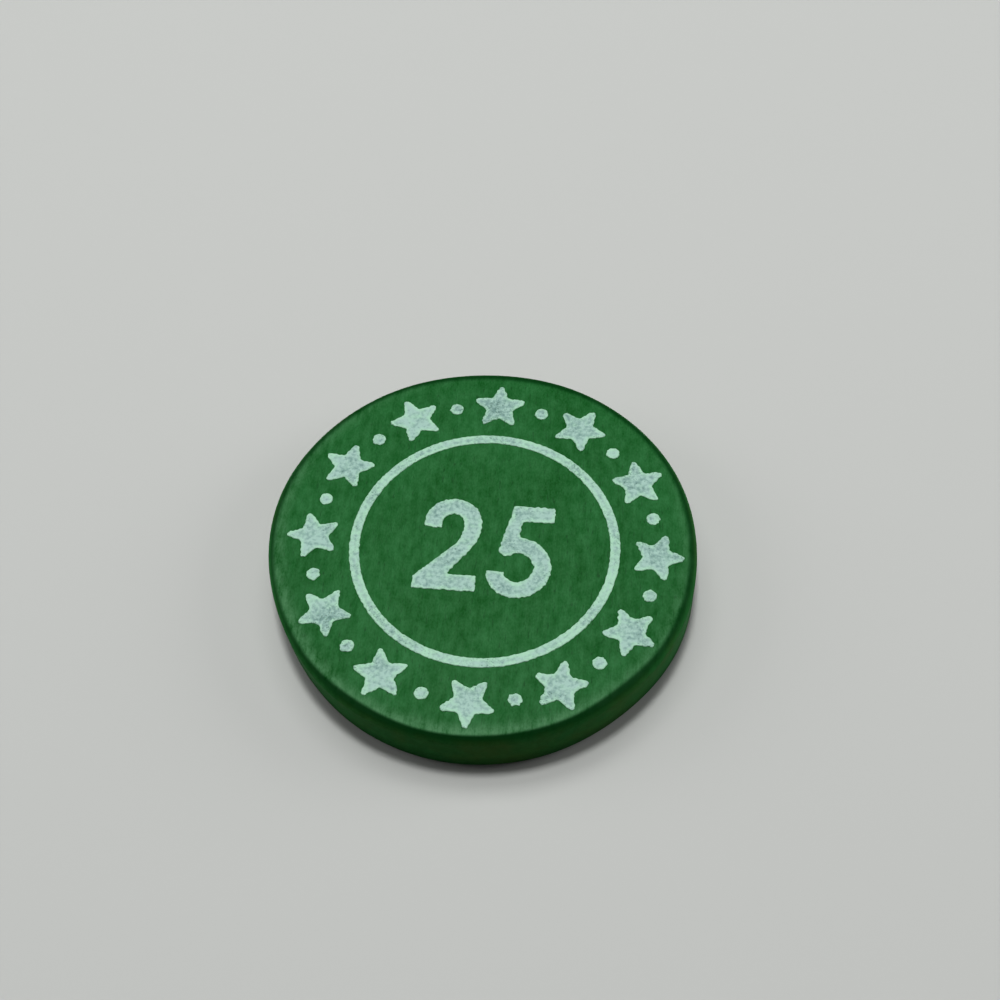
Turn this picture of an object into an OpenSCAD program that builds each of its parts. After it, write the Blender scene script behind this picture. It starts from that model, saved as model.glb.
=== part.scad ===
// Round wooden game token, printed on one face with a number, a ring and a border.
// The origin is the middle of the underside, which is the face that the token rests on.

/* [Disc] */
// Diameter of the wooden disc
disc_d = 30; // [27:0.5:40]
// Thickness of the wood
disc_t = 4; // [2:0.1:8]
// Radius that eases the two edges of the wood
edge_r = 0.6; // [0.2:0.05:0.9]

/* [Print] */
// Thickness of the dried ink
ink_t = 0.04; // [0.02:0.01:0.2]
// How far the whole print lies right of the disc's centre
print_x = 0.25; // [-0.4:0.05:0.4]
// How far the whole print lies below the disc's centre
print_drop = 0.25; // [-0.4:0.05:0.4]
// Width of the border, from the outside of the ring to the eased edge
border_w = 5.04; // [4.2:0.02:6.4]
// Width of the ring's line
line_w = 0.73; // [0.4:0.01:1.2]

/* [Border] */
// Number of stars in the border, each with a dot after it
star_count = 12; // [8:1:14]
// Distance from the centre of a star to its points
star_r = 1.9; // [1.2:0.05:2.2]
// Distance from the centre of a star to the corners between its points
waist_r = 1; // [0.6:0.05:1.15]
// Radius that rounds the points of the stars
tip_r = 0.22; // [0.1:0.02:0.4]
// Diameter of the dots
dot_d = 1; // [0.6:0.05:1.5]
// Angle that the first star is turned from the top of the number
border_turn = 0; // [0:0.5:15]

/* [Number] */
// Height of the digits
digit_h = 7.4; // [5:0.1:9]
// Width of the strokes of the digits
stroke_w = 1.28; // [0.8:0.02:1.6]
// Bare wood between the two digits
digit_gap = 0.6; // [0.3:0.05:1.2]
// How far the number is printed below the middle of the ring
number_drop = 0.1; // [-0.3:0.05:0.3]
// How far the five is printed below the two
five_drop = 0.3; // [0:0.05:0.6]

/* [Hidden] */
$fn = 144;

wood_colour = "#2f6b3d";
ink_colour = "#b4d6c2";

disc_r = disc_d / 2;
flat_r = disc_r - edge_r;
ring_r = flat_r - border_w;
border_r = ring_r + border_w / 2;
star_step = 360 / star_count;
star_points = 5;
arc_steps = 16;
tip_steps = 6;

// Shares of the digits' height that shape the two: its width, its bowl, the wider sweeps
// on both sides of its neck, and how high those sweeps are centred
two_w_share = 0.588;
two_bowl_share = 0.274;
two_bowl_x_share = 0.319;
two_outer_sweep_share = 0.405;
two_inner_sweep_share = 0.297;
two_outer_rise_share = 0.7;
two_inner_rise_share = 0.686;

// Angles of the two: where its bowl is cut off, the slope of the cut, and its neck's two edges
two_bowl_end = 190;
two_cut_slope = -6;
two_outer_lean = 55;
two_inner_lean = 46;

// Shares of the digits' height that shape the five: its width, its bowl and the tighter
// sweep that ends it, its flag and stem, and the round foot where the stem meets the bowl
five_w_share = 0.601;
five_bowl_share = 0.328;
five_sweep_share = 0.277;
five_stem_top_share = 0.203;
five_flag_end_share = 0.597;
five_notch_share = 0.303;
five_foot_share = 0.081;
five_foot_shares = [0.176, 0.522];

// Angles of the five: where the foot's arc and the bowl's two edges start and end
five_foot_from = 195;
five_foot_to = 310;
five_bowl_from = 95;
five_bowl_to = 88;

digits_w = (two_w_share + five_w_share) * digit_h + digit_gap;

star_names = [for (i = [1 : star_count]) str("star_", i)];
dot_names = [for (i = [1 : star_count]) str("dot_", i)];

// A point at a distance and an angle from a centre
function polar(centre, r, a) = [centre[0] + r * cos(a), centre[1] + r * sin(a)];

// Points along an arc, from one angle to another
function arc(centre, r, from, to, steps = arc_steps) =
    [for (i = [0 : steps]) polar(centre, r, from + (to - from) * i / steps)];

// A list of points without its first
function tail(points) = [for (i = [1 : len(points) - 1]) points[i]];

// Where the line that leaves a point downwards at an angle crosses a height or a side
function at_height(p, lean, y) = [p[0] - (p[1] - y) / tan(lean), y];
function at_side(p, lean, x) = [x, p[1] - (p[0] - x) * tan(lean)];

// Lays a flat shape on the wood as a film of ink
module printed() {
    color(ink_colour)
        translate([print_x, -print_drop, disc_t])
            linear_extrude(ink_t)
                children();
}

// The solid wooden disc, with both edges eased
module disc() {
    color(wood_colour)
        rotate_extrude() {
            square([flat_r, disc_t]);
            translate([0, edge_r])
                square([disc_r, disc_t - 2 * edge_r]);
            for (z = [edge_r, disc_t - edge_r])
                translate([flat_r, z])
                    circle(edge_r);
        }
}

// The plain ring round the number
module ring() {
    printed()
        difference() {
            circle(ring_r);
            circle(ring_r - line_w);
        }
}

// The outline of the two, from its lower left corner
function two_outline() =
    let (
        bowl_r = two_bowl_share * digit_h,
        bowl = [two_bowl_x_share * digit_h, digit_h - bowl_r],
        inner_r = bowl_r - stroke_w,
        bowl_end = polar(bowl, bowl_r, two_bowl_end),
        outer_r = two_outer_sweep_share * digit_h,
        outer = [bowl[0] + bowl_r - outer_r, two_outer_rise_share * digit_h],
        neck_r = two_inner_sweep_share * digit_h,
        neck = [bowl[0] + inner_r - neck_r, two_inner_rise_share * digit_h],
        outer_end = polar(outer, outer_r, two_outer_lean - 90),
        neck_end = polar(neck, neck_r, two_inner_lean - 90),
        w = two_w_share * digit_h
    )
    concat(
        [[0, 0], at_side(neck_end, two_inner_lean, 0)],
        arc(neck, neck_r, two_inner_lean - 90, 0),
        arc(bowl, inner_r, 0, 180),
        [polar(bowl_end, stroke_w, two_cut_slope)],
        arc(bowl, bowl_r, two_bowl_end, 0),
        arc(outer, outer_r, 0, two_outer_lean - 90),
        [at_height(outer_end, two_outer_lean, stroke_w), [w, stroke_w], [w, 0]]
    );

// The outline of the five, from the left end of its bowl and its base
function five_outline() =
    let (
        bowl_r = five_bowl_share * digit_h,
        sweep_r = five_sweep_share * digit_h,
        bowl = [sweep_r, bowl_r],
        sweep = [sweep_r, sweep_r],
        foot = five_foot_shares * digit_h,
        w = five_w_share * digit_h,
        flag = digit_h - stroke_w
    )
    concat(
        [[five_stem_top_share * digit_h, digit_h]],
        arc(foot, five_foot_share * digit_h, five_foot_from, five_foot_to),
        arc(bowl, bowl_r - stroke_w, five_bowl_from, -90),
        tail(arc(sweep, sweep_r - stroke_w, -90, -180)),
        arc(sweep, sweep_r, -180, -90),
        tail(arc(bowl, bowl_r, -90, five_bowl_to)),
        [
            [five_notch_share * digit_h, flag],
            [w, flag],
            [five_flag_end_share * digit_h, digit_h]
        ]
    );

// The digit on the left
module digit_two() {
    printed()
        translate([-digits_w / 2, (five_drop - digit_h) / 2 - number_drop])
            polygon(two_outline());
}

// The digit on the right
module digit_five() {
    printed()
        translate([
            digits_w / 2 - five_w_share * digit_h,
            -(five_drop + digit_h) / 2 - number_drop
        ])
            polygon(five_outline());
}

// The outline of a star round its own centre. Each rounded point is an arc that the straight
// edges from the two corners beside it touch
function star_outline() =
    let (
        point_step = 360 / star_points,
        reach = star_r - tip_r,
        corner = polar([-reach, 0], waist_r, point_step / 2),
        half_turn = atan2(corner[1], corner[0]) - acos(tip_r / norm(corner))
    )
    [
        for (k = [0 : star_points - 1])
            let (a = 90 + k * point_step)
            each concat(
                arc(polar([0, 0], reach, a), tip_r, a - half_turn, a + half_turn, tip_steps),
                [polar([0, 0], waist_r, a + point_step / 2)]
            )
    ];

// One star of the border, with a point outwards
module star(i) {
    printed()
        rotate(-border_turn - (i - 1) * star_step)
            translate([0, border_r])
                polygon(star_outline());
}

// The dot after each star, going round clockwise
module dot(i) {
    printed()
        rotate(-border_turn - (i - 1 / 2) * star_step)
            translate([0, border_r])
                circle(d = dot_d);
}

disc();
ring();
digit_two();
digit_five();
for (i = [1 : star_count]) {
    star(i);
    dot(i);
}
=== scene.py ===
# %% [markdown]
# # A stained wooden game token
# The token is a disc of hardwood 30 mm across, stained green and printed on one face. The CAD
# model holds its true sizes and one solid for each separate mark of ink. This script keeps those
# places and sizes and makes what a step closer shows: the softened edges, the fibres of the wood,
# the uneven stain, and ink that is thick at its rims and thinner in the middle.

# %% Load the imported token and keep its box
import math

import bmesh
import bpy
from mathutils import Matrix, Vector, kdtree, noise


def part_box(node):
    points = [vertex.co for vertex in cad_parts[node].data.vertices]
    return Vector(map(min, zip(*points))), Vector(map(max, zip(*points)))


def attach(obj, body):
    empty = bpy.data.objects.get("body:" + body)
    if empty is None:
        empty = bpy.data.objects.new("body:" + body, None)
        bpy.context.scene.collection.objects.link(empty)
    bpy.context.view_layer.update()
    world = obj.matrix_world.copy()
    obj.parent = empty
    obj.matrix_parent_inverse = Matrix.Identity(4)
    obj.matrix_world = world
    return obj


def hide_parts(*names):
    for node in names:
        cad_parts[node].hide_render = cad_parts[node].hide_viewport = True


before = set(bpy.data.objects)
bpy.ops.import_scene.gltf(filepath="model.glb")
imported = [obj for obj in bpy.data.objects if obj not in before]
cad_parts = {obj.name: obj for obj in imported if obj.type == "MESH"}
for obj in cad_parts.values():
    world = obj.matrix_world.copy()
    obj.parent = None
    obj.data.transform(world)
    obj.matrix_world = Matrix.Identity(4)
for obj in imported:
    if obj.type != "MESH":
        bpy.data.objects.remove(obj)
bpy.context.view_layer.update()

MM = 0.001
disc_low, disc_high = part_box("disc")
DISC_R = (disc_high.x - disc_low.x) / 2
TOP = disc_high.z
BASE = disc_low.z
print(f"disc {2 * DISC_R / MM:.1f} mm across, {(TOP - BASE) / MM:.1f} mm thick")

# %% [markdown]
# ## Camera
# The photograph looks down on the token from 58 degrees above the table and from a little to the
# right of the number's upright. A camera for another picture could be placed by eye. Here the
# outline of the disc fixed it, so the distance, the lens and the small aim errors of a hand-held
# shot are given as numbers and turned into one matrix.

# %% Place the camera
PICTURE_PX = 1000
FOCAL_PX = 1635.5
AIM_RIGHT_PX = -21.4
AIM_DOWN_PX = 41.8
# The width of the sensor, in the millimetres that Blender gives a lens in
SENSOR = 36.0
CAMERA_AWAY = 112.8 * MM
CAMERA_UP = math.radians(58.4)
CAMERA_ROUND = math.radians(8.5)
CAMERA_ROLL = math.radians(-3.59)
NEAREST = 1 * MM
FARTHEST = 5000 * MM


def show(name, data):
    """Puts a camera, a lamp or a mesh into the scene as an object."""
    shown = bpy.data.objects.new(name, data)
    bpy.context.scene.collection.objects.link(shown)
    return shown


def place_camera():
    """Makes the camera look at the middle of the printed face, off centre as in the photograph."""
    cos_up, sin_up = math.cos(CAMERA_UP), math.sin(CAMERA_UP)
    cos_round, sin_round = math.cos(CAMERA_ROUND), math.sin(CAMERA_ROUND)
    right = Vector((cos_round, sin_round, 0))
    ahead = Vector((-sin_round * cos_up, cos_round * cos_up, -sin_up))
    down = ahead.cross(right)
    pan = Matrix.Rotation(math.atan(AIM_RIGHT_PX / FOCAL_PX), 3, "Y")
    tilt = Matrix.Rotation(-math.atan(AIM_DOWN_PX / FOCAL_PX), 3, "X")
    roll = Matrix.Rotation(CAMERA_ROLL, 3, "Z")
    aimed_right, aimed_down, aimed_ahead = roll @ pan @ tilt @ Matrix((right, down, ahead))
    turned = Matrix((aimed_right, -aimed_down, -aimed_ahead)).transposed().to_4x4()
    data = bpy.data.cameras.new("camera")
    data.sensor_width = SENSOR
    data.lens = SENSOR * FOCAL_PX / PICTURE_PX
    data.clip_start = NEAREST
    data.clip_end = FARTHEST
    camera = show("camera", data)
    camera.matrix_world = Matrix.Translation(Vector((0, 0, TOP)) - ahead * CAMERA_AWAY) @ turned
    bpy.context.scene.camera = camera
    return camera


camera = place_camera()
print("camera at", [round(v / MM, 1) for v in camera.matrix_world.translation], "mm")

# %% [markdown]
# ## Helpers for colours and nodes
# A colour picked from a picture is coded for the screen, and a shader works in linear light, so
# one function turns a hex code into linear numbers. One more adds a node to a material with its
# settings and its inputs: an input that is a socket is linked, and any other value is set. Every
# kind of node goes through it, so all the materials below read alike.


# %% Colour and node helpers
def linear(code):
    """A colour for a shader from an sRGB hex code such as 2f6b3d, by the standard's own curve."""
    shares = [int(code[i : i + 2], 16) / 255 for i in (0, 2, 4)]
    return [s / 12.92 if s <= 0.04045 else ((s + 0.055) / 1.055) ** 2.4 for s in shares] + [1.0]


def add(tree, kind, inputs=(), **settings):
    """Adds a node of a kind, sets what is named, and links or sets its inputs."""
    node = tree.nodes.new("ShaderNode" + kind)
    for name, value in settings.items():
        setattr(node, name, value)
    for name, value in dict(inputs).items():
        if isinstance(value, bpy.types.NodeSocket):
            tree.links.new(value, node.inputs[name])
        else:
            node.inputs[name].default_value = value
    return node


def new_material(name):
    """An empty node material with its output node."""
    material = bpy.data.materials.new(name)
    material.use_nodes = True
    material.node_tree.nodes.clear()
    return material, material.node_tree, add(material.node_tree, "OutputMaterial")


print("white is", linear("ffffff"))

# %% [markdown]
# ## Patterns and coats of colour
# Neither the stain nor the ink has one plain colour: specks, blotches and clouds lie over one
# another like thin coats of paint. A picture of real wood could be wrapped round the disc, but it
# would bring its own scale and its own light. Noise is drawn here instead, with lumps of a real
# width and length. Several noises are added up by weight, and each coat of colour is laid over
# the last by a share.

# %% Helpers for patterns and coats
# The middle value of a noise
NOISE_MIDDLE = 0.5
# A Mix node has its sockets for colours behind those for numbers and vectors
COLOUR_UNDER = 6
COLOUR_OVER = 7
COLOUR_OUT = 2


def draw_patterns(tree, place, sizes, rough):
    """A noise for each named pattern, from the width, length and detail of its lumps."""
    patterns = {}
    for name, (wide, long, detail) in sizes.items():
        inputs = {"Vector": place, "Scale": (1 / wide, 1 / long, 1 / wide)}
        mapped = add(tree, "Mapping", inputs).outputs[0]
        inputs = {"Vector": mapped, "Scale": 1.0, "Detail": detail, "Roughness": rough}
        patterns[name] = add(tree, "TexNoise", inputs).outputs[0]
    return patterns


def weigh(tree, patterns, weights):
    """Adds patterns up, each measured from its middle and taken as strongly as its weight."""
    total = NOISE_MIDDLE
    for name, weight in weights.items():
        inputs = {0: patterns[name], 1: NOISE_MIDDLE}
        apart = add(tree, "Math", inputs, operation="SUBTRACT").outputs[0]
        inputs = {0: apart, 1: weight, 2: total}
        total = add(tree, "Math", inputs, operation="MULTIPLY_ADD").outputs[0]
    return total


def lay_over(tree, colour, *coats):
    """Lays coats over a first colour, one after another, each by its own share."""
    for share, coat in coats:
        inputs = {"Factor": share, COLOUR_UNDER: colour, COLOUR_OVER: coat}
        colour = add(tree, "Mix", inputs, data_type="RGBA").outputs[COLOUR_OUT]
    return colour


print("weighed patterns keep their middle at", NOISE_MIDDLE)

# %% [markdown]
# ## Stained wood
# The real disc is a pale, fine hardwood such as maple or beech, sanded, tumbled and dipped in
# green stain. Stain takes unevenly: fine specks follow the pores, soft blotches follow the
# density of the wood, and faint fibres run along Y. Handling rubs the stain pale just inside the
# rim, and a painted sheen lightens that band too. On the eased edge the stain gathers as a dark
# line, deepened by painted shade. The cut wall soaks the stain up, and painted shade makes it
# darker where it faces -Y and towards its foot. All this could be painted by hand on a picture.
# Here four notes that the mesh carries at each point say where it lies: how upright the surface
# stands, how pale its band of wear and painted sheen is, how dark its line of stain and painted
# shade is, and how squarely it faces -Y, which sets the painted shade on the wall. Each pattern
# shows from a first value on, and most from a second, so a Map Range node turns its noise into a
# share.

# %% Colours of the stained wood
# Width, length and detail of each pattern's lumps. Real pores are finer than a pixel of this
# picture, so the specks and flecks are drawn as coarse as they need to be to show
WOOD_PATTERNS = {
    "specks": (0.11 * MM, 0.2 * MM, 2.0),
    "blotches": (0.55 * MM, 1.0 * MM, 3.0),
    "fibres": (0.22 * MM, 3.2 * MM, 3.0),
    "flecks": (0.09 * MM, 0.6 * MM, 1.0),
    "clouds": (3.5 * MM, 6.0 * MM, 3.0),
}
WOOD_DETAIL_ROUGH = 0.55
# The notes that the mesh carries at each point
WOOD_NOTES = ("upright", "wear_and_sheen", "stain_and_shade_line", "shade_side")
# How strongly each pattern counts in the tone of the wood, and in the band of wear and painted
# sheen
TONE_WEIGHTS = {"specks": 0.9, "blotches": 1.2, "fibres": 0.7, "clouds": 0.9}
WEAR_AND_SHEEN_WEIGHTS = {"blotches": 1.3, "clouds": 0.9, "fibres": 1.0, "specks": 0.7}
# Each colour, and from which value on it shows, from which it shows most, and by what share
FACE_DARK = linear("074c15")
FACE_PALE = linear("266c36")
FLECK_GREEN = linear("0b3b16")
FLECKS_SHOW = {"From Min": 0.64, "From Max": 0.74, "To Max": 0.6}
# Pale green of the band inside the rim: stain worn thin, and painted sheen
WEAR_AND_SHEEN_GREEN = linear("487e52")
WEAR_AND_SHEEN_SHOWS = {"From Max": 0.6}
SIDE_DEEP = linear("215c29")
SIDE_GREEN = linear("2e743a")
# Darker greens of the wall where it faces -Y: painted shade
WALL_SHADE_DEEP = linear("1a481d")
WALL_SHADE_GREEN = linear("255d2c")
WALL_BROWN = linear("3a4a1c")
BROWN_SHOWS = {"From Min": 0.45, "From Max": 0.65, "To Max": 0.45}
# Dark green of the edge line, which is gathered stain and painted shade
STAIN_AND_SHADE_GREEN = linear("03290a")
# Painted shade darkens the wall from its foot up to this height
FOOT_SHADE_TOP = 1.7 * MM
FOOT_SHADE_SHOWS = {"From Min": BASE, "From Max": FOOT_SHADE_TOP, "To Min": 0.95, "To Max": 0.0}
WALL_SHOWS = {"From Min": 0.03, "From Max": 0.2}


def face_colour(tree, tone, patterns, notes):
    """The faces' green: blotchy, with dark flecks, and pale at the rim with wear and painted sheen.
    """
    flecks = add(tree, "MapRange", {"Value": patterns["flecks"], **FLECKS_SHOW}).outputs[0]
    # The pale band is worn stain and painted sheen
    inputs = {0: notes["wear_and_sheen"], 1: weigh(tree, patterns, WEAR_AND_SHEEN_WEIGHTS)}
    wear_sheen = add(tree, "Math", inputs, operation="MULTIPLY").outputs[0]
    wear_sheen = add(tree, "MapRange", {"Value": wear_sheen, **WEAR_AND_SHEEN_SHOWS}).outputs[0]
    coats = ((tone, FACE_PALE), (flecks, FLECK_GREEN), (wear_sheen, WEAR_AND_SHEEN_GREEN))
    return lay_over(tree, FACE_DARK, *coats)


def wall_colour(tree, tone, place, patterns, notes):
    """The wall's green: brownish in patches, and with painted shade where it faces -Y and at its
    foot.
    """
    side = lay_over(tree, SIDE_DEEP, (tone, SIDE_GREEN))
    # Painted shade: a darker copy of the wall's green where it faces -Y
    shaded_wall = lay_over(tree, WALL_SHADE_DEEP, (tone, WALL_SHADE_GREEN))
    brown = add(tree, "MapRange", {"Value": patterns["clouds"], **BROWN_SHOWS}).outputs[0]
    # Painted shade towards the foot of the wall
    height = add(tree, "SeparateXYZ", {"Vector": place}).outputs["Z"]
    foot_shade = add(tree, "MapRange", {"Value": height, **FOOT_SHADE_SHOWS}).outputs[0]
    return lay_over(tree, side, (notes["shade_side"], shaded_wall), (brown, WALL_BROWN), (foot_shade, STAIN_AND_SHADE_GREEN))


print(len(WOOD_PATTERNS), "patterns and", len(WOOD_NOTES), "notes make the colour of the wood")

# %% [markdown]
# ## Sheen of the wood
# Sanded and stained wood is satin, not glossy: its face has a weak, patchy sheen, and the wall
# and the dark line of stain and painted shade have hardly any. One roughness for all would look
# like plastic, so the sheen follows the blotches and the specks, and a very low relief follows
# the specks, fibres and flecks.

# %% Stained wood material
FACE_SHINE = 0.06
SHEEN_PATCHY = 0.42
SHEEN_WEIGHTS = {"blotches": 2.0, "specks": 1.5}
WALL_SHINE = 0.004
WALL_DULLS = {"From Min": 0.1, "From Max": 0.4}
LINE_DULLS = {"From Max": 0.6}
WOOD_ROUGH = {"From Min": 0.3, "From Max": 0.7, "To Min": 0.4, "To Max": 0.5}
RELIEF_WEIGHTS = {"specks": 0.6, "fibres": 0.6, "flecks": -0.8}
WOOD_BUMP = {"Strength": 0.4, "Distance": 0.03 * MM}


def wood_shine(tree, patterns, notes):
    """How strongly the wood mirrors light: patchy on the face, dull on the wall and the line."""
    inputs = {
        "Value": weigh(tree, patterns, SHEEN_WEIGHTS),
        "To Min": FACE_SHINE * (1 - SHEEN_PATCHY),
        "To Max": FACE_SHINE * (1 + SHEEN_PATCHY),
    }
    shine = add(tree, "MapRange", inputs).outputs[0]
    for name, limits in (("upright", WALL_DULLS), ("stain_and_shade_line", LINE_DULLS)):
        inputs = {"Value": notes[name], **limits, "To Min": shine, "To Max": WALL_SHINE}
        shine = add(tree, "MapRange", inputs).outputs[0]
    return shine


# Hardwood, sanded and dipped in stain: to the eye a dull, uneven green that is darker on the wall
def stained_wood():
    """Green stained hardwood, pale at the rim with wear and painted sheen, dark along its eased
    edge.
    """
    material, tree, out = new_material("green_stained_hardwood")
    place = add(tree, "TexCoord").outputs["Object"]
    patterns = draw_patterns(tree, place, WOOD_PATTERNS, WOOD_DETAIL_ROUGH)
    notes = {}
    for name in WOOD_NOTES:
        notes[name] = add(tree, "Attribute", attribute_name=name).outputs["Fac"]
    tone = weigh(tree, patterns, TONE_WEIGHTS)
    face = face_colour(tree, tone, patterns, notes)
    wall = wall_colour(tree, tone, place, patterns, notes)
    wall_share = add(tree, "MapRange", {"Value": notes["upright"], **WALL_SHOWS}).outputs[0]
    # The edge line is gathered stain and painted shade
    colour = lay_over(tree, face, (wall_share, wall), (notes["stain_and_shade_line"], STAIN_AND_SHADE_GREEN))
    rough = add(tree, "MapRange", {"Value": patterns["specks"], **WOOD_ROUGH}).outputs[0]
    relief = weigh(tree, patterns, RELIEF_WEIGHTS)
    inputs = {
        "Base Color": colour,
        "Roughness": rough,
        "Specular IOR Level": wood_shine(tree, patterns, notes),
        "Normal": add(tree, "Bump", {"Height": relief, **WOOD_BUMP}).outputs[0],
    }
    shader = add(tree, "BsdfPrincipled", inputs)
    tree.links.new(shader.outputs[0], out.inputs["Surface"])
    return material


wood = stained_wood()
print("made", wood.name, "from", len(wood.node_tree.nodes), "nodes")

# %% [markdown]
# ## Printing ink
# The marks are printed in a pale mint white. Contact printing squeezes the ink towards the rim of
# each mark, so the rim is thick and bright while the middle is thin, and the dark wood shows
# through it as blue-grey speckles. Where the print is worn, a few specks are bare. A transparent
# ink would show the wood by itself, but it couldn't be baked to a plain picture, so the ink is
# opaque and takes the colours that the eye sees. The mesh carries how near each point is to the
# rim of its mark.

# %% Printing ink material
# Width, length and detail of each pattern's lumps, alike in every direction
INK_PATTERNS = {
    "speckles": (0.27 * MM, 0.27 * MM, 2.0),
    "patches": (0.42 * MM, 0.42 * MM, 2.0),
    "pinholes": (0.11 * MM, 0.11 * MM, 1.0),
    "drifts": (0.9 * MM, 0.9 * MM, 1.0),
    "worn": (3.0 * MM, 3.0 * MM, 2.0),
}
INK_DETAIL_ROUGH = 0.5
INK_RIM = linear("a8d8ba")
INK_MID = linear("a2c7bb")
RIM_WEIGHTS = {"rim": 1.0, "patches": 1.8, "drifts": 1.6}
MIDDLE_SHOWS = {"From Max": 1.1, "To Min": 1.0, "To Max": 0.0}
INK_THIN = linear("5a827c")
THIN_WEIGHTS = {"speckles": 2.3, "patches": 1.4, "worn": 1.0}
RIM_SPECKLES = 0.45
THIN_SHOWS = {"From Min": 0.2, "From Max": 1.05, "To Max": 0.85}
INK_BARE = linear("3a6656")
BARE_WEIGHTS = {"pinholes": 2.0, "worn": 1.2}
BARE_SHOWS = {"From Min": 0.78, "From Max": 1.0, "To Max": 0.6}
INK_ROUGH = 0.55
INK_SHINE = 0.3
INK_BUMP = {"Strength": 0.3, "Distance": 0.02 * MM}


def ink_colour(tree, patterns):
    """The colour of the ink: bright at the rim, speckled in the middle, with bare specks."""
    near_rim = weigh(tree, patterns, RIM_WEIGHTS)
    middle = add(tree, "MapRange", {"Value": near_rim, **MIDDLE_SHOWS}).outputs[0]
    shown = add(tree, "MapRange", {"Value": middle, "To Min": RIM_SPECKLES}).outputs[0]
    inputs = {0: weigh(tree, patterns, THIN_WEIGHTS), 1: shown}
    thin = add(tree, "Math", inputs, operation="MULTIPLY").outputs[0]
    thin = add(tree, "MapRange", {"Value": thin, **THIN_SHOWS}).outputs[0]
    worn = weigh(tree, patterns, BARE_WEIGHTS)
    bare = add(tree, "MapRange", {"Value": worn, **BARE_SHOWS}).outputs[0]
    return lay_over(tree, INK_RIM, (middle, INK_MID), (thin, INK_THIN), (bare, INK_BARE))


# Dried printing ink: to the eye a thin, matt, pale film, bright at its rim and speckled inside
def printing_ink():
    """Thin pale ink with a brighter rim, blue-grey speckles and a few bare specks."""
    material, tree, out = new_material("pale_printing_ink")
    place = add(tree, "TexCoord").outputs["Object"]
    patterns = draw_patterns(tree, place, INK_PATTERNS, INK_DETAIL_ROUGH)
    patterns["rim"] = add(tree, "Attribute", attribute_name="rim").outputs["Fac"]
    inputs = {
        "Base Color": ink_colour(tree, patterns),
        "Roughness": INK_ROUGH,
        "Specular IOR Level": INK_SHINE,
        "Normal": add(tree, "Bump", {"Height": patterns["speckles"], **INK_BUMP}).outputs[0],
    }
    shader = add(tree, "BsdfPrincipled", inputs)
    tree.links.new(shader.outputs[0], out.inputs["Surface"])
    return material


ink = printing_ink()
print("made", ink.name, "from", len(ink.node_tree.nodes), "nodes")

# %% [markdown]
# ## The shape of the wood
# A die-cut and tumbled disc is never quite round or quite flat: its face falls away a little
# towards the rim, its outline is flattened by up to 0.3 mm on some sides, its wall leans in
# towards the foot on two, and sanding leaves the softer bands of wood slightly lower. These small
# changes could be sculpted. Here they are functions of place, so that they stay small and true to
# size, and so that the ink can follow the surface under it.

# %% Functions for the worn shape
# The face falls by so much over the last stretch before the rim
SHOULDER_IN = 2.0 * MM
SHOULDER_FALL = 0.06 * MM
# How deep sanding goes, and how wide and long its hollows are
RELIEF = 0.012 * MM
RELIEF_WIDE = 0.5 * MM
RELIEF_LONG = 9 * MM
# Direction and half width in degrees, and depth, of each flat and of each lean
FLATS = ((202, 43, 0.31 * MM), (2, 34, 0.13 * MM), (95, 32, 0.14 * MM), (275, 35, 0.03 * MM))
LEANS = ((224, 50, 0.36 * MM), (314, 32, 0.2 * MM))


def smooth_step(x):
    """Rises from 0 to 1 without a corner."""
    x = min(max(x, 0.0), 1.0)
    return x * x * (3 - 2 * x)


def shoulder(x, y):
    """How far the face has fallen at a place, towards the rim."""
    return SHOULDER_FALL * smooth_step((math.hypot(x, y) - DISC_R + SHOULDER_IN) / SHOULDER_IN)


def relief(x, y, side):
    """How far sanding has hollowed the face at a place, from 0 to RELIEF."""
    spot = Vector((x / RELIEF_WIDE, y / RELIEF_LONG, side))
    return RELIEF * (0.5 + 0.5 * noise.noise(spot))


def set_in(angle, sides):
    """How far sides such as the flats lie inside the true circle in a direction."""
    total = 0.0
    for centre, half_width, depth in sides:
        turn = abs((math.degrees(angle) - centre + 180) % 360 - 180)
        total += depth * smooth_step(1 - turn / half_width)
    return total


deepest = max(set_in(math.radians(turn), FLATS) for turn in range(360))
print("the flats are up to", round(deepest / MM, 2), "mm deep")

# %% [markdown]
# ## Where the stain is worn pale and where the dark line lies
# Fingers and other tokens rub the stain pale on a band just inside the rim, and a painted sheen
# lightens the same band; both are strongest on the side that faces -Y and to the left of it. Wet
# stain runs off the face and dries as a dark line on the eased edge, and painted shade deepens
# it: crisp where it faces -Y and softer and fainter elsewhere. Both could be painted on the mesh
# by hand, but every change of the mesh would mean painting again. Written as functions of place,
# they follow a mesh of any fineness.

# %% Functions for the stain
# The band of wear and painted sheen: where it starts, inwards from the rim, over what width it
# grows, how strong it is, and the direction in which it is weakest
WEAR_AND_SHEEN_IN = 1.6 * MM
WEAR_AND_SHEEN_RISE = 1.1 * MM
WEAR_AND_SHEEN_SHARE = 0.44
WEAR_AND_SHEEN_LEAST = math.radians(70)
# The dark line: where it starts, inwards from the rim, and how far that moves out towards -Y
LINE_IN = 0.8 * MM
LINE_SHIFT = 0.16 * MM
# How wide its inner edge is, on the far side and towards -Y
LINE_SOFT = 0.45 * MM
LINE_CRISP = 0.24 * MM
# How far down the wall it fades, and the shares of that and of its depth left on the far side
LINE_FADE = 0.55 * MM
LINE_LEAST = 0.7
LINE_FAINTEST = 0.82
LINE_WANDER = 0.05 * MM
# The line's wander is read from the noise along a circle, at a height that no other pattern uses
WANDER_CIRCLE = 2
WANDER_HEIGHT = 9.0
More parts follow.
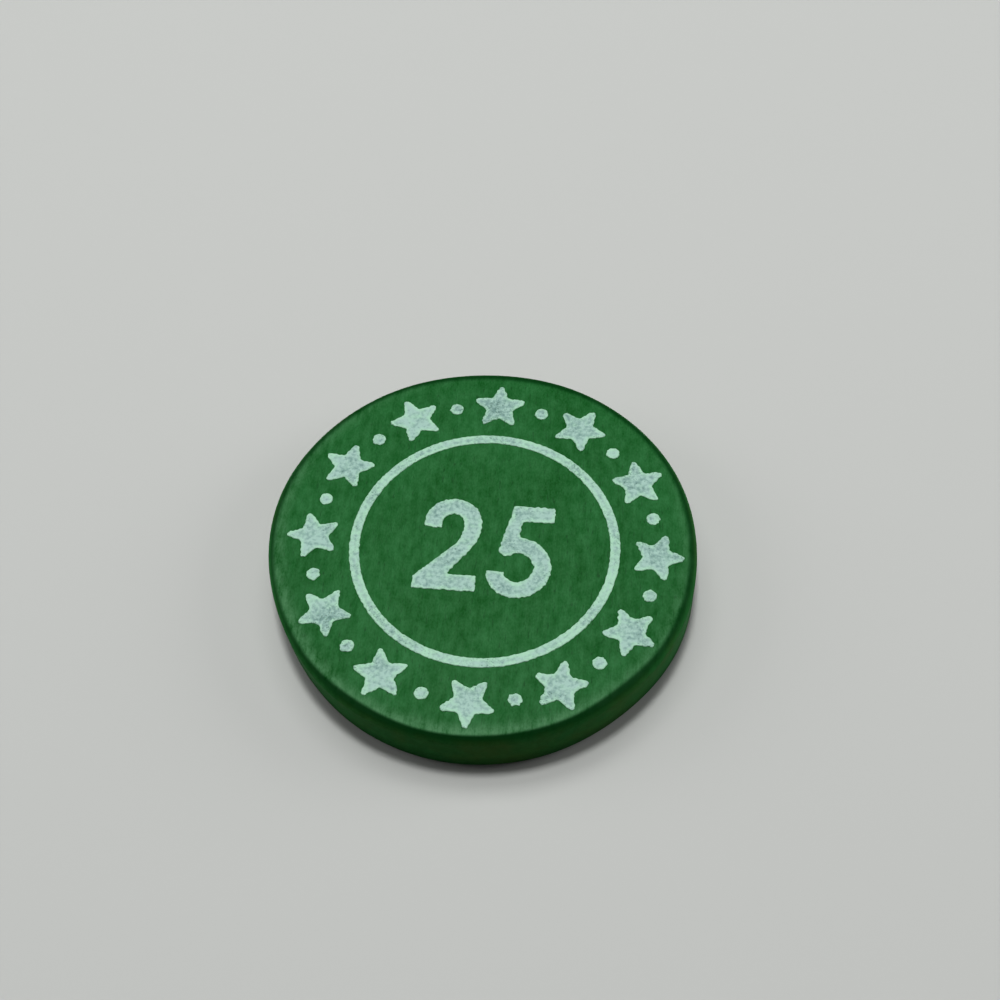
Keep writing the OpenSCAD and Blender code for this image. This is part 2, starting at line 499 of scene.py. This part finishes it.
# Direction and half width in degrees, and reach inwards, of each stretch where the dark line
# starts further in
LINE_REACHES = ((240, 20, 0.15 * MM), (315, 18, 0.17 * MM), (88, 35, 0.1 * MM), (200, 38, -0.2 * MM))


def near_side(x, y):
    """How squarely a place faces -Y, where painted shade falls on the wall, from 0 to 1."""
    r = math.hypot(x, y)
    return max(0.0, -y / r) ** 2 if r > 0 else 0.0


def wear_and_sheen(x, y):
    """How pale the stain is at a place, worn and painted with sheen, from 0 to 1."""
    r = math.hypot(x, y)
    band = smooth_step((r - DISC_R + WEAR_AND_SHEEN_IN) / WEAR_AND_SHEEN_RISE)
    return band * WEAR_AND_SHEEN_SHARE * (1 - math.cos(math.atan2(y, x) - WEAR_AND_SHEEN_LEAST))


def stain_and_shade_line(x, y, down):
    """How dark the line of stain and painted shade is at a place so far down the wall, from 0 to 1.
    """
    r = math.hypot(x, y)
    shade_side = near_side(x, y)
    start = DISC_R - LINE_IN + LINE_SHIFT * shade_side
    if r > 0:
        spot = Vector((WANDER_CIRCLE * x / r, WANDER_CIRCLE * y / r, WANDER_HEIGHT))
        start += LINE_WANDER * noise.noise(spot)
        start -= set_in(math.atan2(y, x), LINE_REACHES)
    width = LINE_SOFT + (LINE_CRISP - LINE_SOFT) * shade_side
    reach = LINE_FADE * (LINE_LEAST + (1 - LINE_LEAST) * shade_side)
    depth = LINE_FAINTEST + (1 - LINE_FAINTEST) * shade_side
    return depth * smooth_step((r - start) / width) * (1 - smooth_step(down / reach))


# The dark line at the rim is gathered stain and painted shade
print("stain gathered at the rim of the face:", round(stain_and_shade_line(0, -DISC_R, 0), 2))

# %% [markdown]
# ## The plain disc
# The real disc is one piece of wood with both its edges eased. A lathe makes such a shape, and so
# does bmesh spin: half of the section goes round the axis. The two outer edges are then bevelled
# by the radius that the real edges have. A cylinder with a Bevel modifier would be quicker, but
# its faces would be two large polygons, and here the faces and the wall are cut into rings, so
# that there are enough points for the worn shape and the stain to show.

# %% Spin the disc
# The radius that eases the edges, as on the CAD disc
EASE = 0.6 * MM
# The outer band of a face is cut finely, up to the ring that the bevel will take
OUTER_BAND = 2.4 * MM
EDGE_RING = 0.7 * MM
TURN_STEPS = 420
FACE_RINGS = 54
BAND_RINGS = 22
UNDER_RINGS = 30
WALL_RINGS = 7
EASE_STEPS = 14
# Points nearer than this are one point
WELD = 0.0001 * MM
# Play left when two places or lengths are compared
PLAY = 0.001 * MM


def spin_full(bm, steps):
    """Takes all that the bmesh holds once round the Z axis and closes it on itself."""
    bmesh.ops.spin(
        bm,
        geom=bm.verts[:] + bm.edges[:],
        cent=(0, 0, 0),
        axis=(0, 0, 1),
        angle=2 * math.pi,
        steps=steps,
        use_merge=True,
    )
    bmesh.ops.remove_doubles(bm, verts=bm.verts, dist=WELD)


def loop_edges(bm, z):
    """The edges of the outer circle at one height."""
    def on_it(v):
        return abs(v.co.z - z) < WELD and math.hypot(v.co.x, v.co.y) > DISC_R - PLAY
    return [e for e in bm.edges if all(on_it(v) for v in e.verts)]


def spin_disc():
    """The plain disc with eased edges, before wear."""
    bm = bmesh.new()
    half = [(0, TOP), (DISC_R - OUTER_BAND, TOP), (DISC_R - EDGE_RING, TOP), (DISC_R, TOP)]
    corners = half + [(x, BASE) for x, _ in reversed(half)]
    verts = [bm.verts.new((x, 0, z)) for x, z in corners]
    edges = [bm.edges.new(pair) for pair in zip(verts, verts[1:])]
    rings = (FACE_RINGS, BAND_RINGS, 0, 0, 0, BAND_RINGS, UNDER_RINGS)
    for edge, cuts in zip(edges, rings):
        if cuts:
            bmesh.ops.subdivide_edges(bm, edges=[edge], cuts=cuts)
    spin_full(bm, TURN_STEPS)
    bmesh.ops.recalc_face_normals(bm, faces=bm.faces)
    bmesh.ops.bevel(
        bm,
        geom=loop_edges(bm, TOP) + loop_edges(bm, BASE),
        offset=EASE,
        segments=EASE_STEPS,
        profile=0.5,
        affect="EDGES",
        material=-1,
    )
    wall = TOP - BASE - 2 * EASE
    upright = [e for e in bm.edges if abs(e.verts[0].co.z - e.verts[1].co.z) > wall - PLAY]
    bmesh.ops.subdivide_edges(bm, edges=upright, cuts=WALL_RINGS)
    return bm


disc_mesh = spin_disc()
print("the plain disc has", len(disc_mesh.verts), "points")

# %% [markdown]
# ## The worn disc
# Cutting, tumbling and handling have taken the real disc out of true. The functions above say by
# how much, so each point notes how its place is stained and where painted sheen and painted shade
# lie, and is then moved to where the wood still is. A Displace modifier could move the points too,
# but it couldn't write the notes that the colours need. A small function then turns any finished
# bmesh into a piece that stands for its CAD node.


# %% Wear and finish the disc
def worn_place(x, y, z):
    """Where a point of the plain disc lies on the worn one."""
    above = z - (TOP + BASE) / 2
    fall = shoulder(x, y) + relief(x, y, 1 if above > 0 else -1)
    r = math.hypot(x, y)
    kept = 1.0
    if r > 0:
        angle = math.atan2(y, x)
        down = (TOP - z) / (TOP - BASE)
        shrink = (set_in(angle, FLATS) + down * set_in(angle, LEANS)) * smooth_step(r / DISC_R)
        kept = 1 - shrink / r
    return x * kept, y * kept, z - above / (TOP - BASE) * 2 * fall


def wear_disc(bm):
    """Moves points to the worn shape and notes where wear, stain, painted sheen and painted shade
    lie.
    """
    bm.normal_update()
    upright, wear_sheen, line, shade_side = [bm.verts.layers.float.new(name) for name in WOOD_NOTES]
    for v in bm.verts:
        x, y, z = v.co
        v[upright] = 1 - abs(v.normal.z)
        v[wear_sheen] = wear_and_sheen(x, y)
        v[line] = stain_and_shade_line(x, y, min(TOP - z, z - BASE))
        v[shade_side] = near_side(x, y)
        v.co = worn_place(x, y, z)


def show_mesh(bm, name, material):
    """Puts a finished bmesh into the scene, smoothly shaded and in one material."""
    for face in bm.faces:
        face.smooth = True
    mesh = bpy.data.meshes.new(name)
    bm.to_mesh(mesh)
    bm.free()
    mesh.materials.append(material)
    return show(name, mesh)


def finish_piece(bm, name, material, node):
    """Turns a bmesh into a shown piece that stands for one CAD node."""
    piece = show_mesh(bm, name, material)
    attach(piece, "root")
    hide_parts(node)
    return piece


wear_disc(disc_mesh)
disc = finish_piece(disc_mesh, "wooden_disc", wood, "disc")
print("disc has", len(disc.data.polygons), "faces")

# %% [markdown]
# ## Outlines of the marks
# Each mark of the print is one closed patch of ink. Stars and digits have their outlines in the
# CAD solids, so each film starts from a copy of its solid's upper face, merged to one flat
# polygon. Drawing them again would risk a second, slightly different shape. The ring and the dots
# are circles, and circles are better made anew, with finer steps than the solid's mesh has.

# %% Flat outlines
# The width of the ring's line, as on the CAD ring, and where across it the film has points
RING_LINE = 0.73 * MM
RING_CUT_SHARES = (0, 0.06, 0.17, 0.33, 0.5, 0.67, 0.83, 0.94, 1)
OUTLINE_STEP = 0.09 * MM
# A face points up where its normal rises more than this
POINTS_UP = 0.5
ring_low, ring_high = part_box("ring")
RING_CENTRE = (ring_low + ring_high) / 2
RING_R = (ring_high.x - ring_low.x) / 2


def face_of_node(node):
    """The upper face of a CAD node as one flat polygon."""
    bm = bmesh.new()
    bm.from_mesh(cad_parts[node].data)
    bmesh.ops.remove_doubles(bm, verts=bm.verts, dist=WELD)
    bm.normal_update()
    others = [f for f in bm.faces if f.normal.z < POINTS_UP]
    bmesh.ops.delete(bm, geom=others, context="FACES")
    bmesh.ops.dissolve_faces(bm, faces=bm.faces, use_verts=False)
    return bm


def round_face(node):
    """A dot's flat round face, as large and where the CAD node is."""
    low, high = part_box(node)
    bm = bmesh.new()
    r = (high.x - low.x) / 2
    steps = round(2 * math.pi * r / OUTLINE_STEP)
    bmesh.ops.create_circle(bm, cap_ends=True, segments=steps, radius=r)
    bmesh.ops.translate(bm, verts=bm.verts, vec=((low.x + high.x) / 2, (low.y + high.y) / 2, 0))
    return bm


def ring_face():
    """The ring's flat face, spun from one short line cut into steps."""
    bm = bmesh.new()
    verts = [bm.verts.new((RING_R - RING_LINE * share, 0, 0)) for share in RING_CUT_SHARES]
    for pair in zip(verts, verts[1:]):
        bm.edges.new(pair)
    spin_full(bm, round(2 * math.pi * RING_R / OUTLINE_STEP))
    bmesh.ops.translate(bm, verts=bm.verts, vec=(RING_CENTRE.x, RING_CENTRE.y, 0))
    return bm


def split_outline(bm):
    """Cuts the long edges of an outline into steps of about one size."""
    for e in list(bm.edges):
        cuts = int(e.calc_length() / OUTLINE_STEP)
        if cuts:
            bmesh.ops.subdivide_edges(bm, edges=[e], cuts=cuts)


print("ring", round(2 * RING_R / MM, 2), "mm across")

# %% [markdown]
# ## Edges of the ink
# Ink spreads: corners come out round, straight edges wander where the wood's fibres draw the ink
# along, and here and there the edge has a nick. A pattern in the material could fake this, but
# an edge that is moved holds up from every side. The outline is smoothed first, then moved in
# and out by noise.

# %% Roughen the outlines
CORNER_PASSES = 3
CORNER_SOFTNESS = 0.5
# How far the ink stays inside its true outline, and how far its edge wanders round that
DRAWN_BACK = 0.022 * MM
WANDER = 0.1 * MM
WANDER_SIZE = 0.22 * MM
# The wander is weaker in some stretches than in others, and weaker all along the ring
CALM_SHARE = 0.8
CALM_SWING = 0.7
CALM_SIZE = 0.9 * MM
RING_CALM = 0.55
NICK = 0.16 * MM
NICK_SIZE = 0.5 * MM
NICK_FROM = 0.35
# Heights in the noise that keep these patterns from following one another
CALM_HEIGHT = Vector((0, 0, 3))
NICK_HEIGHT = Vector((0, 0, 7))


def edge_move(spot, share=1.0):
    """How far the edge of the ink lies outside its true line at a place."""
    calm = CALM_SHARE + CALM_SWING * noise.noise(spot / CALM_SIZE + CALM_HEIGHT)
    wander = share * WANDER * calm * noise.noise(spot / WANDER_SIZE)
    nick = noise.noise(spot / NICK_SIZE + NICK_HEIGHT)
    return wander - DRAWN_BACK - NICK * max(0.0, nick - NICK_FROM)


def soften_corners(bm):
    """Rounds the corners of a flat outline, as wet ink does."""
    for _ in range(CORNER_PASSES):
        bmesh.ops.smooth_vert(
            bm,
            verts=bm.verts,
            factor=CORNER_SOFTNESS,
            use_axis_x=True,
            use_axis_y=True,
            use_axis_z=False,
        )
    bm.normal_update()


def roughen(bm):
    """Lets the edge of a one-faced outline wander."""
    moves = []
    for face in bm.faces:
        for loop in face.loops:
            way = loop.link_loop_next.vert.co - loop.link_loop_prev.vert.co
            outward = Vector((way.y, -way.x, 0)).normalized() * math.copysign(1, face.normal.z)
            spot = Vector((loop.vert.co.x, loop.vert.co.y, 0))
            moves.append((loop.vert, outward * edge_move(spot)))
    for v, move in moves:
        v.co += move


def roughen_ring(bm):
    """Lets both edges of the ring wander and spreads the change across its line."""
    for v in bm.verts:
        outward = Vector((v.co.x - RING_CENTRE.x, v.co.y - RING_CENTRE.y, 0))
        share = (outward.length - RING_R + RING_LINE) / RING_LINE
        outward.normalize()
        outer = edge_move(outward * RING_R, RING_CALM)
        inner = edge_move(outward * (RING_R - RING_LINE), RING_CALM)
        v.co += outward * (share * outer - (1 - share) * inner)


print("ink edges wander by", round(WANDER / MM, 3), "mm")

# %% [markdown]
# ## Small faces for the ink
# A film of dried ink is steep at its rim and uneven in the middle, and a mesh can only show that
# where it has points. A Remesh modifier would give even cells, but it would blur the edge that
# was just drawn. A narrow inset gives the rim its own row of faces instead, and the rest is cut
# into small even triangles.

# %% Cut the marks small
RIM_IN = 0.04 * MM
CELL = 0.17 * MM
CUT_ROUNDS = 5


def cut_small(bm):
    """Insets a flat outline once and cuts the rest into small triangles."""
    bmesh.ops.inset_region(
        bm, faces=bm.faces, thickness=RIM_IN, use_boundary=True, use_even_offset=False
    )
    bmesh.ops.triangulate(bm, faces=bm.faces)
    for _ in range(CUT_ROUNDS):
        inner = [e for e in bm.edges if not e.is_boundary and e.calc_length() > CELL]
        bmesh.ops.subdivide_edges(bm, edges=inner, cuts=1)
        bmesh.ops.triangulate(bm, faces=bm.faces)
        inner = [e for e in bm.edges if not e.is_boundary]
        bmesh.ops.beautify_fill(bm, faces=bm.faces, edges=inner)


def flat_mark(node):
    """The flat face of one mark, with its edge roughened and its inside cut small."""
    if node == "ring":
        bm = ring_face()
        roughen_ring(bm)
        return bm
    bm = round_face(node) if node.startswith("dot") else face_of_node(node)
    split_outline(bm)
    soften_corners(bm)
    roughen(bm)
    for v in bm.verts:
        v.co.z = 0
    cut_small(bm)
    return bm


print("cells of", round(CELL / MM, 2), "mm at most")

# %% [markdown]
# ## Films of ink
# The dried ink is a thin film that lies on the wood. It is steep at its rim, highest just inside
# it where the printing plate squeezed the ink, and thinner and uneven in the middle. A plain
# extrusion would leave every mark flat and sharp like a sticker, so the flat mark is extruded
# first, and then each of its upper points is given its own height over the wood.

# %% Print the marks
# The thickness of the ink, as on the CAD marks, and how deep its foot sits in the wood
INK_FILM = 0.04 * MM
SEAT = 0.015 * MM
# Shares of that thickness at the very edge and in the middle, and how far the middle is mottled
EDGE_SHARE = 0.4
MIDDLE_SHARE = 0.74
MOTTLE_SHARE = 0.12
MOTTLE_SIZE = 0.3 * MM
# How far in from the edge a mark counts as rim, and how far in on the ring's narrow line
RIM_WIDE = 0.36 * MM
RING_RIM_WIDE = 0.58 * MM


def ink_share(spot, away):
    """The thickness of the ink at a place, as a share of its full thickness."""
    middle = MIDDLE_SHARE + MOTTLE_SHARE * noise.noise(spot / MOTTLE_SIZE)
    ridge = EDGE_SHARE + (1 - EDGE_SHARE) * smooth_step(away / RIM_IN)
    return ridge + (middle - 1) * smooth_step((away - RIM_IN) / RIM_WIDE)


def find_rim(bm):
    """A search tree of the points on the rim of a flat mark."""
    rim = [v.co.copy() for v in bm.verts if v.is_boundary]
    tree = kdtree.KDTree(len(rim))
    for i, spot in enumerate(rim):
        tree.insert(spot, i)
    tree.balance()
    return tree


def film(bm, rim_wide):
    """Gives a flat mark its thickness and notes how near each point is to its rim."""
    rim = find_rim(bm)
    layer = bm.verts.layers.float.new("rim")
    made = bmesh.ops.extrude_face_region(bm, geom=bm.faces[:])["geom"]
    top = {g for g in made if isinstance(g, bmesh.types.BMVert)}
    for v in bm.verts:
        spot = Vector((v.co.x, v.co.y, 0))
        away = rim.find(v.co)[2]
        v[layer] = 1 - smooth_step(away / rim_wide)
        rise = INK_FILM * ink_share(spot, away) if v in top else -SEAT
        v.co.z = TOP - shoulder(spot.x, spot.y) + rise
    bmesh.ops.recalc_face_normals(bm, faces=bm.faces)
    if bm.calc_volume(signed=True) < 0:
        bmesh.ops.reverse_faces(bm, faces=bm.faces)


def print_mark(node):
    """One mark of the print, from its flat outline to a finished piece."""
    bm = flat_mark(node)
    film(bm, RING_RIM_WIDE if node == "ring" else RIM_WIDE)
    return finish_piece(bm, node + "_ink", ink, node)


marks = [print_mark(node) for node in sorted(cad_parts) if node != "disc"]
print(len(marks), "marks,", sum(len(m.data.polygons) for m in marks), "faces")

# %% [markdown]
# ## Floor
# The token lies on a plain pale surface that takes its shadow. A square floor as wide as the view
# would do for the photograph's angle, but a low view would see its far edge as a hard line. So the
# floor is a wide disc that fades, for the camera alone, into the brightness of the backdrop.

# %% Lay the floor
FLOOR_R = 400 * MM
FLOOR_STEPS = 128
FLOOR_GREY = linear("c6c8c5")
FLOOR_ROUGH = 0.9
# How bright the backdrop looks, as a share of plain white
BACKDROP_SHARE = 0.5
FLOOR_FADES = {"From Min": 100 * MM, "From Max": 350 * MM}


# Matt painted board: to the eye an even pale grey without any sheen
def floor_paint():
    """A pale matt grey that fades into the backdrop far from the token."""
    material, tree, out = new_material("pale_matt_floor")
    inputs = {"Base Color": FLOOR_GREY, "Roughness": FLOOR_ROUGH}
    near = add(tree, "BsdfPrincipled", inputs).outputs[0]
    far = add(tree, "Emission", {"Strength": BACKDROP_SHARE}).outputs[0]
    place = add(tree, "TexCoord").outputs["Object"]
    away = add(tree, "VectorMath", {0: place}, operation="LENGTH").outputs["Value"]
    seen = add(tree, "LightPath").outputs["Is Camera Ray"]
    fade = add(tree, "MapRange", {"Value": away, **FLOOR_FADES}).outputs[0]
    fade = add(tree, "Math", {0: fade, 1: seen}, operation="MULTIPLY").outputs[0]
    shader = add(tree, "MixShader", {0: fade, 1: near, 2: far})
    tree.links.new(shader.outputs[0], out.inputs["Surface"])
    return material


def lay_floor():
    """A round floor at the height that the token rests on."""
    bm = bmesh.new()
    bmesh.ops.create_circle(bm, cap_ends=True, segments=FLOOR_STEPS, radius=FLOOR_R)
    bmesh.ops.translate(bm, verts=bm.verts, vec=(0, 0, BASE))
    floor = show_mesh(bm, "floor", floor_paint())


lay_floor()
print("floor", round(2 * FLOOR_R / MM), "mm across")

# %% [markdown]
# ## World
# One evenly bright world would be the simplest light, but it would wash out the tight shadow at
# the token's foot. So the world lights the token only dimly, while the camera and the sheen see
# it as pale as the far floor. A Light Path node tells the two apart.

# %% Light the world
WORLD_SHARE = 0.06
WHITE = linear("ffffff")


def light_world():
    """A surround that gives dim light and looks pale to the camera and in reflections."""
    world = bpy.data.worlds.new("studio")
    world.use_nodes = True
    tree = world.node_tree
    tree.nodes.clear()
    path = add(tree, "LightPath").outputs
    seen = path["Is Camera Ray"]
    for ray in ("Is Glossy Ray", "Is Transmission Ray"):
        seen = add(tree, "Math", {0: seen, 1: path[ray]}, operation="MAXIMUM").outputs[0]
    inputs = {"Value": seen, "To Min": WORLD_SHARE, "To Max": BACKDROP_SHARE}
    strength = add(tree, "MapRange", inputs).outputs[0]
    grey = add(tree, "Background", {"Color": WHITE, "Strength": strength})
    out = add(tree, "OutputWorld")
    tree.links.new(grey.outputs[0], out.inputs["Surface"])
    bpy.context.scene.world = world


light_world()
print("the world lights the token with", WORLD_SHARE, "of plain white")

# %% [markdown]
# ## Lamps
# A soft lamp overhead and a wide window behind light the face evenly, give its falling shoulder a
# soft sheen and leave the near wall in shade, with a dark, tight shadow at its foot. Two weak
# lamps light the walls on the left and right. Lamps could be set in watts by eye. Here each one's
# brightness is given where it counts, at the token, and its watts are worked out from how far
# away and how slanting it is.

# %% Place the lamps
# Name, place, width and depth of each lamp, and its light at the token as a share of plain white
LAMPS = (
    ("overhead_softbox", (-12 * MM, 55 * MM, 450 * MM), (70 * MM, 70 * MM), 0.48),
    ("window_behind", (-50 * MM, 200 * MM, 420 * MM), (400 * MM, 140 * MM), 0.29),
    ("fill_right", (420 * MM, 140 * MM, 200 * MM), (250 * MM, 250 * MM), 0.1),
    ("fill_left", (-440 * MM, 50 * MM, 200 * MM), (250 * MM, 250 * MM), 0.08),
)


def soft_light(name, place, size, share):
    """A flat lamp aimed at the token, as bright there as a share of plain white light."""
    data = bpy.data.lights.new(name, "AREA")
    data.shape = "RECTANGLE"
    data.size, data.size_y = size
    # Its light thins with the square of the distance, and with the slant at which it arrives
    away = Vector(place)
    data.energy = share * math.pi**2 * away.length**3 / away.z
    lamp = show(name, data)
    lamp.matrix_world = Matrix.Translation(away) @ away.to_track_quat("Z", "Y").to_matrix().to_4x4()
    return lamp


lamps = [soft_light(*lamp) for lamp in LAMPS]
bpy.context.scene.view_settings.view_transform = "Standard"
print("lamps of", [round(lamp.data.energy, 2) for lamp in lamps], "W")
